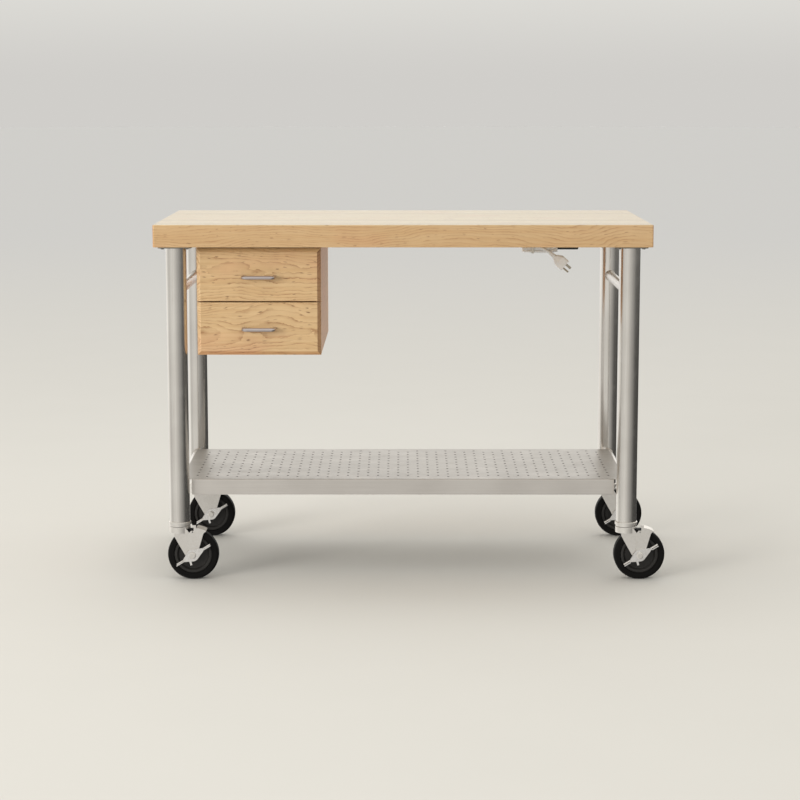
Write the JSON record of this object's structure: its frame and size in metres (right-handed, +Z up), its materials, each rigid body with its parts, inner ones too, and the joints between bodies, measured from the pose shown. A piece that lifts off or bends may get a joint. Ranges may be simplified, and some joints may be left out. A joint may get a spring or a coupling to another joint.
{
  "type": "kitchen island cart",
  "caption": "Kitchen island cart: maple worktop on round steel legs with locking casters, two drawers at one end, a perforated lower shelf, side towel bars and a power outlet.",
  "frame": {"origin": "on the floor, at the middle of the box that holds the whole cart with its casters trailing to the right", "axes": "+X to the cart's right along the worktop, +Y from the drawer fronts to the back, +Z up"},
  "size_m": [1.264, 0.6096, 0.889],
  "materials": {
    "maple_worktop": "oiled maple, edge grain",
    "maple_case": "clear satin lacquer",
    "maple_fronts": "clear satin lacquer",
    "drawer_wood": "clear lacquer",
    "stainless_tube": "satin brushed",
    "stainless_sheet": "fine brushed",
    "runner_steel": "bright zinc",
    "screw_steel": "bright zinc",
    "satin_nickel": "satin nickel",
    "caster_zinc": "satin nickel plating",
    "lever_plate": "bright plating",
    "wheel_core": "moulded, matte",
    "tread_rubber": "matte",
    "outlet_black": "fine texture",
    "cord_grey": "soft vinyl",
    "clip_white": "nylon",
    "blade_brass": "bright"
  },
  "bodies": {
    "cart": {"worktop": "maple_worktop", "leg_front_left": "stainless_tube", "leg_front_right": "stainless_tube", "leg_back_left": "stainless_tube", "leg_back_right": "stainless_tube", "leg_flanges": "stainless_sheet", "flange_screws": "screw_steel", "towel_bar_left": "stainless_tube", "towel_bar_right": "stainless_tube", "shelf_rail_left": "stainless_tube", "shelf_rail_right": "stainless_tube", "shelf_pan": "stainless_sheet", "case_side_left": "maple_case", "case_side_right": "maple_case", "case_floor": "maple_case", "case_back": "maple_case", "case_rails": "maple_case", "case_screws": "screw_steel", "cabinet_runners": "runner_steel", "outlet_box": "outlet_black", "outlet_face": "outlet_black", "cord_gland": "cord_grey", "cord_hank": "cord_grey", "cord_tail": "cord_grey", "plug": "cord_grey", "plug_blades": "blade_brass", "cord_clips": "clip_white", "caster_stems": "caster_zinc", "caster_races": "caster_zinc"},
    "upper_drawer": {"upper_drawer_front": "maple_fronts", "upper_drawer_box": "drawer_wood", "upper_drawer_bottom": "drawer_wood", "upper_drawer_runners": "runner_steel", "upper_drawer_pull": "satin_nickel"},
    "lower_drawer": {"lower_drawer_front": "maple_fronts", "lower_drawer_box": "drawer_wood", "lower_drawer_bottom": "drawer_wood", "lower_drawer_runners": "runner_steel", "lower_drawer_pull": "satin_nickel"},
    "caster_front_left_swivel": {"caster_front_left_fork": "caster_zinc"},
    "caster_front_left_wheel": {"caster_front_left_hub": "wheel_core", "caster_front_left_tyre": "tread_rubber"},
    "caster_front_left_brake": {"caster_front_left_brake_plate": "caster_zinc"},
    "caster_front_left_lever": {"caster_front_left_brake_lever": "lever_plate"},
    "caster_front_right_swivel": {"caster_front_right_fork": "caster_zinc"},
    "caster_front_right_wheel": {"caster_front_right_hub": "wheel_core", "caster_front_right_tyre": "tread_rubber"},
    "caster_front_right_brake": {"caster_front_right_brake_plate": "caster_zinc"},
    "caster_front_right_lever": {"caster_front_right_brake_lever": "lever_plate"},
    "caster_back_left_swivel": {"caster_back_left_fork": "caster_zinc"},
    "caster_back_left_wheel": {"caster_back_left_hub": "wheel_core", "caster_back_left_tyre": "tread_rubber"},
    "caster_back_left_brake": {"caster_back_left_brake_plate": "caster_zinc"},
    "caster_back_left_lever": {"caster_back_left_brake_lever": "lever_plate"},
    "caster_back_right_swivel": {"caster_back_right_fork": "caster_zinc"},
    "caster_back_right_wheel": {"caster_back_right_hub": "wheel_core", "caster_back_right_tyre": "tread_rubber"},
    "caster_back_right_brake": {"caster_back_right_brake_plate": "caster_zinc"},
    "caster_back_right_lever": {"caster_back_right_brake_lever": "lever_plate"}
  },
  "joints": [
    {"name": "upper_drawer_slide", "type": "slide", "parent": "cart", "child": "upper_drawer", "axis": [0, -1, 0], "range_m": [0, 0.33]},
    {"name": "lower_drawer_slide", "type": "slide", "parent": "cart", "child": "lower_drawer", "axis": [0, -1, 0], "range_m": [0, 0.33]},
    {"name": "caster_front_left_swivel", "type": "hinge", "parent": "cart", "child": "caster_front_left_swivel", "pos_m": [-0.58045, -0.258, 0.134], "axis": [0, 0, 1], "continuous": true},
    {"name": "caster_front_left_roll", "type": "hinge", "parent": "caster_front_left_swivel", "child": "caster_front_left_wheel", "pos_m": [-0.54745, -0.258, 0.0635], "axis": [0, 1, 0], "continuous": true},
    {"name": "caster_front_left_lever", "type": "hinge", "parent": "caster_front_left_swivel", "child": "caster_front_left_lever", "pos_m": [-0.54745, -0.258, 0.0635], "axis": [0, 1, 0], "range_deg": [0, 60]},
    {"name": "caster_front_left_brake", "type": "slide", "parent": "caster_front_left_swivel", "child": "caster_front_left_brake", "axis": [-0.3173, 0, -0.9483], "range_m": [0, 0.0038]},
    {"name": "caster_front_right_swivel", "type": "hinge", "parent": "cart", "child": "caster_front_right_swivel", "pos_m": [0.53555, -0.258, 0.134], "axis": [0, 0, 1], "continuous": true},
    {"name": "caster_front_right_roll", "type": "hinge", "parent": "caster_front_right_swivel", "child": "caster_front_right_wheel", "pos_m": [0.56855, -0.258, 0.0635], "axis": [0, 1, 0], "continuous": true},
    {"name": "caster_front_right_lever", "type": "hinge", "parent": "caster_front_right_swivel", "child": "caster_front_right_lever", "pos_m": [0.56855, -0.258, 0.0635], "axis": [0, 1, 0], "range_deg": [0, 60]},
    {"name": "caster_front_right_brake", "type": "slide", "parent": "caster_front_right_swivel", "child": "caster_front_right_brake", "axis": [-0.3173, 0, -0.9483], "range_m": [0, 0.0038]},
    {"name": "caster_back_left_swivel", "type": "hinge", "parent": "cart", "child": "caster_back_left_swivel", "pos_m": [-0.58045, 0.258, 0.134], "axis": [0, 0, 1], "continuous": true},
    {"name": "caster_back_left_roll", "type": "hinge", "parent": "caster_back_left_swivel", "child": "caster_back_left_wheel", "pos_m": [-0.54745, 0.258, 0.0635], "axis": [0, 1, 0], "continuous": true},
    {"name": "caster_back_left_lever", "type": "hinge", "parent": "caster_back_left_swivel", "child": "caster_back_left_lever", "pos_m": [-0.54745, 0.258, 0.0635], "axis": [0, 1, 0], "range_deg": [0, 60]},
    {"name": "caster_back_left_brake", "type": "slide", "parent": "caster_back_left_swivel", "child": "caster_back_left_brake", "axis": [-0.3173, 0, -0.9483], "range_m": [0, 0.0038]},
    {"name": "caster_back_right_swivel", "type": "hinge", "parent": "cart", "child": "caster_back_right_swivel", "pos_m": [0.53555, 0.258, 0.134], "axis": [0, 0, 1], "continuous": true},
    {"name": "caster_back_right_roll", "type": "hinge", "parent": "caster_back_right_swivel", "child": "caster_back_right_wheel", "pos_m": [0.56855, 0.258, 0.0635], "axis": [0, 1, 0], "continuous": true},
    {"name": "caster_back_right_lever", "type": "hinge", "parent": "caster_back_right_swivel", "child": "caster_back_right_lever", "pos_m": [0.56855, 0.258, 0.0635], "axis": [0, 1, 0], "range_deg": [0, 60]},
    {"name": "caster_back_right_brake", "type": "slide", "parent": "caster_back_right_swivel", "child": "caster_back_right_brake", "axis": [-0.3173, 0, -0.9483], "range_m": [0, 0.0038]}
  ],
  "couplings": [
    {"joint": "caster_front_left_lever", "follows": "caster_front_left_brake", "rad_per_m": 275.5},
    {"joint": "caster_front_right_lever", "follows": "caster_front_right_brake", "rad_per_m": 275.5},
    {"joint": "caster_back_left_lever", "follows": "caster_back_left_brake", "rad_per_m": 275.5},
    {"joint": "caster_back_right_lever", "follows": "caster_back_right_brake", "rad_per_m": 275.5}
  ]
}
